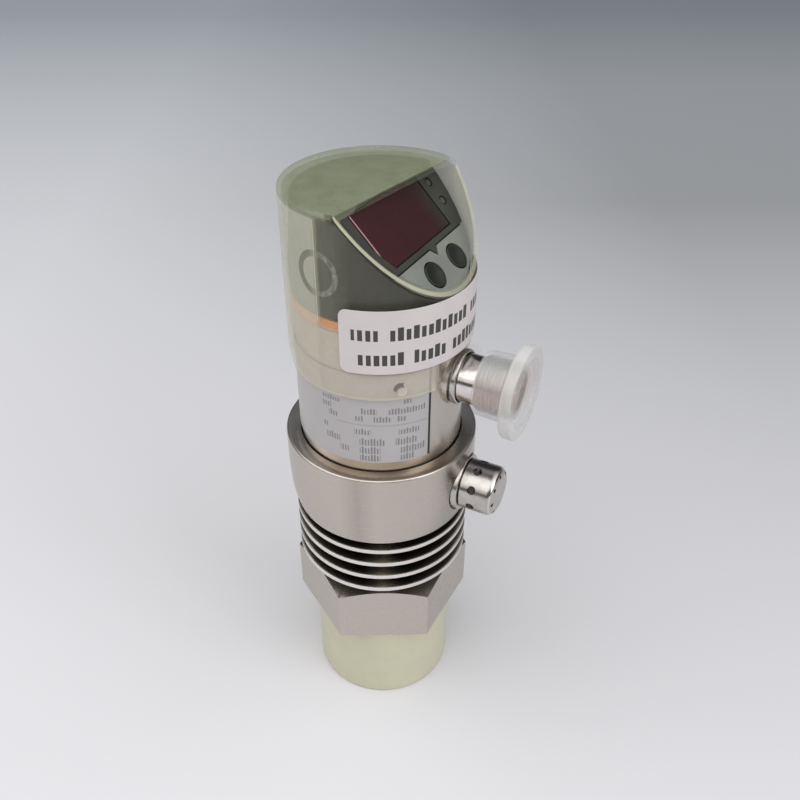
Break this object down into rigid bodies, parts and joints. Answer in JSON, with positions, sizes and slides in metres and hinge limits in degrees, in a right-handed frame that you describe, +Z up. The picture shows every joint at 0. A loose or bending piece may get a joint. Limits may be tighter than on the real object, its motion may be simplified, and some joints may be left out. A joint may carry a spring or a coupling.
{
  "type": "pressure sensor",
  "caption": "Upright electronic pressure sensor: finned hexagon process fitting, steel collar with vent, tube with capped side plug, slanted display head with two keys under a pale cover.",
  "frame": {"origin": "centre of the flat underside of the protective thread cap that the sensor stands on", "axes": "+Z up along the sensor's own axis, -Y towards the picture's camera, +X to its right; the display faces azimuth -30 degrees from +X and the plug and vent face -28 degrees"},
  "size_m": [0.0561, 0.0464, 0.1357],
  "materials": {
    "turned_steel": "turned stainless steel, satin",
    "polished_steel": "polished stainless steel",
    "translucent_cover": "translucent pale yellow-green",
    "pale_cap": "translucent pale yellow-green, satin",
    "milky_cap": "milky translucent",
    "dark_plastic": "dark grey-green, satin",
    "grey_panel": "light grey, satin",
    "red_filter": "dark red, clear gloss",
    "digit_module": "dark red, gloss",
    "black_rubber": "matt",
    "orange_rubber": "matt",
    "circuit_board": "green solder mask",
    "ceramic": "white ceramic",
    "vent_membrane": "porous white film",
    "switch_plastic": "black, satin",
    "led_body": "clear",
    "clear_plastic": "clear",
    "gold_plate": "gold plated",
    "label_foil": "silver lavender foil, satin",
    "sticker_paper": "white film, satin"
  },
  "bodies": {
    "housing": {"thread_cap": "pale_cap", "process_body": "turned_steel", "cell_clamp_ring": "turned_steel", "cell_seal": "black_rubber", "measuring_cell": "ceramic", "sensor_spacer": "dark_plastic", "sensor_board": "circuit_board", "collar_ring": "turned_steel", "collar_seal": "black_rubber", "housing_tube": "turned_steel", "type_label": "label_foil", "head_seal": "orange_rubber", "connector_body": "polished_steel", "connector_nut": "polished_steel", "connector_seal": "black_rubber", "connector_insert": "dark_plastic", "contact_pin_1": "gold_plate", "contact_pin_2": "gold_plate", "contact_pin_3": "gold_plate", "contact_pin_4": "gold_plate", "connector_cap": "milky_cap", "vent_body": "polished_steel", "vent_cap": "polished_steel", "vent_membrane": "vent_membrane", "vent_seal": "black_rubber", "board_holder": "dark_plastic", "main_board": "circuit_board", "head_housing": "dark_plastic", "display_frame": "dark_plastic", "display_window": "red_filter", "key_panel": "grey_panel", "tact_switch_1": "switch_plastic", "tact_switch_2": "switch_plastic", "display_board": "circuit_board", "digit_module": "digit_module", "light_pipe_1": "clear_plastic", "light_pipe_2": "clear_plastic", "status_led_1": "led_body", "status_led_2": "led_body", "display_screw_1": "turned_steel", "display_screw_2": "turned_steel", "head_cover": "translucent_cover", "cover_sticker": "sticker_paper"},
    "button_1": {"push_button_1": "black_rubber"},
    "button_2": {"push_button_2": "black_rubber"}
  },
  "joints": [
    {"name": "button_1_press", "type": "slide", "parent": "housing", "child": "button_1", "axis": [-0.6124, 0.3536, -0.7071], "range_m": [0, 0.0008], "stiffness_N_per_m": 400, "springref_m": -0.0005},
    {"name": "button_2_press", "type": "slide", "parent": "housing", "child": "button_2", "axis": [-0.6124, 0.3536, -0.7071], "range_m": [0, 0.0008], "stiffness_N_per_m": 400, "springref_m": -0.0005}
  ]
}
